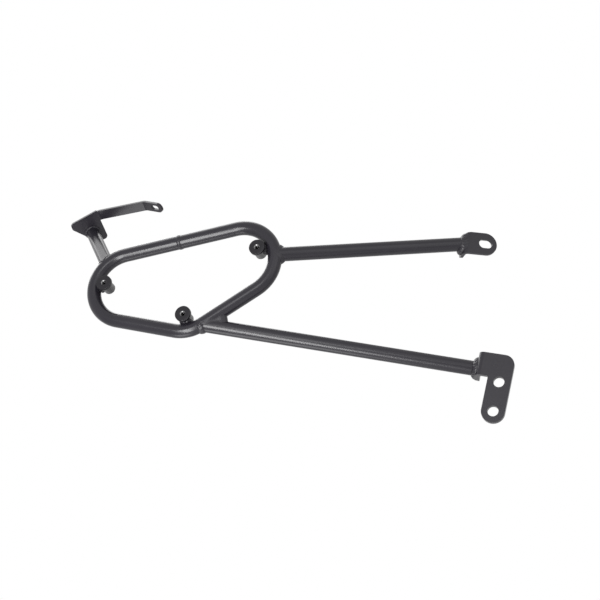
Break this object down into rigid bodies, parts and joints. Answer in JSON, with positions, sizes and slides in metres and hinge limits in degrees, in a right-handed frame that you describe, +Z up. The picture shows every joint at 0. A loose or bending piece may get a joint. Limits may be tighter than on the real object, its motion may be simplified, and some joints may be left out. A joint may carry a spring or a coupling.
{
  "type": "motorcycle side case rack",
  "caption": "Welded tube rack for a motorcycle side case: a rounded triangular tube loop with threaded bushes, two struts to folded bolt-on brackets and an arm with a slotted tail strip.",
  "frame": {"origin": "centre of the upper bolt hole of the lower bracket, on the face that sits on the motorcycle", "axes": "+X forward along the motorcycle and the loop's level top run, +Z up, +Y inward to the motorcycle"},
  "size_m": [0.4911, 0.1127, 0.3575],
  "materials": {
    "tube_coat": "satin black powder coat",
    "plate_coat": "satin black powder coat",
    "bush_coat": "satin black powder coat",
    "weld_coat": "satin black powder coat over rippled weld"
  },
  "bodies": {
    "root": {"loop_tube": "tube_coat", "loop_seam_weld": "weld_coat", "rear_boss": "bush_coat", "rear_boss_weld": "weld_coat", "lower_boss": "bush_coat", "lower_boss_weld": "weld_coat", "front_boss": "bush_coat", "front_boss_weld": "weld_coat", "upper_bracket": "plate_coat", "upper_strut_tube": "tube_coat", "upper_strut_weld": "weld_coat", "upper_bracket_weld": "weld_coat", "lower_bracket": "plate_coat", "lower_strut_tube": "tube_coat", "lower_strut_weld": "weld_coat", "lower_bracket_weld": "weld_coat", "rear_bracket": "plate_coat", "rear_arm_tube": "tube_coat", "rear_arm_weld": "weld_coat", "rear_bracket_weld": "weld_coat"}
  },
  "joints": []
}
